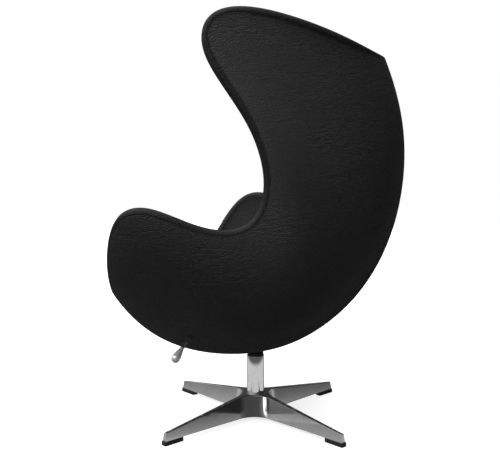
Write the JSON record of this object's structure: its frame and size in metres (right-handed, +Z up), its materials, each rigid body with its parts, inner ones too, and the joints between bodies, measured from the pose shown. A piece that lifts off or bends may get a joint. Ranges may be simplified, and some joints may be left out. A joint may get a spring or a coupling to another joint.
{
  "type": "swivel egg armchair",
  "caption": "Egg-shaped swivel armchair: a padded shell with tall wings and curved arms on a gas column with a star base and a release lever.",
  "frame": {"origin": "on the floor, below the middle of the chair's plan box, with the seat in its upright rest position", "axes": "+Z up, the sitter faces -Y, +X is the sitter's left"},
  "size_m": [0.8802, 0.7779, 1.1366],
  "materials": {
    "polished_aluminium": "polished and faintly brushed die-cast aluminium",
    "chromed_steel": "mirror chrome",
    "pad_rubber": "matt black rubber",
    "stop_rubber": "matt black rubber",
    "black_plastic": "matt black plastic",
    "zinc_steel": "bright zinc plating",
    "bearing_steel": "ground steel",
    "black_steel": "satin black powder coat",
    "bush_brass": "sintered bronze",
    "plywood": "raw plywood",
    "shell_laminate": "raw glass-fibre laminate",
    "black_leather": "black leather with a pebbled grain and a low sheen"
  },
  "bodies": {
    "base": {"star_base": "polished_aluminium", "foot_pad_1": "pad_rubber", "foot_pad_2": "pad_rubber", "foot_pad_3": "pad_rubber", "foot_pad_4": "pad_rubber", "pad_screws": "zinc_steel", "column_tube": "chromed_steel", "guide_bush": "black_plastic", "bearing_lower": "bearing_steel"},
    "swivel": {"piston_rod": "bearing_steel", "bearing_balls": "bearing_steel", "bearing_upper": "bearing_steel", "rod_clip": "zinc_steel"},
    "lift": {"gas_cylinder": "black_steel", "tilt_bracket": "black_steel", "pivot_pin_left": "zinc_steel", "pivot_pin_right": "zinc_steel", "tilt_spring": "bearing_steel", "spring_peg": "black_steel", "stop_block": "stop_rubber"},
    "button": {"release_pin": "bearing_steel"},
    "seat": {"seat_plate": "black_steel", "pivot_bushes": "bush_brass", "plate_bolts": "zinc_steel", "tee_nuts": "zinc_steel", "mounting_board": "plywood", "front_block": "plywood", "rear_block": "plywood", "block_screws": "zinc_steel", "lever_lugs": "black_steel", "lever_eyelet": "black_plastic", "shell_core": "shell_laminate", "outer_cover": "black_leather", "inner_padding": "black_leather", "rim_piping": "black_leather", "seat_cushion": "black_leather"},
    "lever": {"release_cam": "black_steel", "lever_axle": "zinc_steel", "lever_rod": "zinc_steel", "lever_collar": "black_plastic", "lever_grip": "chromed_steel"}
  },
  "joints": [
    {"name": "seat_swivel", "type": "hinge", "parent": "base", "child": "swivel", "pos_m": [0, -0.04, 0], "axis": [0, 0, 1], "continuous": true},
    {"name": "seat_lift", "type": "slide", "parent": "swivel", "child": "lift", "axis": [0, 0, 1], "range_m": [0, 0.07]},
    {"name": "seat_tilt", "type": "hinge", "parent": "lift", "child": "seat", "pos_m": [0, -0.04, 0.25], "axis": [-1, 0, 0], "range_deg": [0, 12], "stiffness_Nm_per_rad": 120, "springref_deg": -10, "deforming": ["tilt_spring"]},
    {"name": "lever_turn", "type": "hinge", "parent": "seat", "child": "lever", "pos_m": [0.076, -0.0949, 0.25], "axis": [-0.2885, -0.9575, 0], "range_deg": [0, 1.6], "stiffness_Nm_per_rad": 8, "springref_deg": -5.73},
    {"name": "button_press", "type": "slide", "parent": "lift", "child": "button", "axis": [0, 0, -1], "range_m": [0, 0.0026]}
  ],
  "couplings": [
    {"joint": "button_press", "follows": "lever_turn", "m_per_rad": 0.0886}
  ]
}
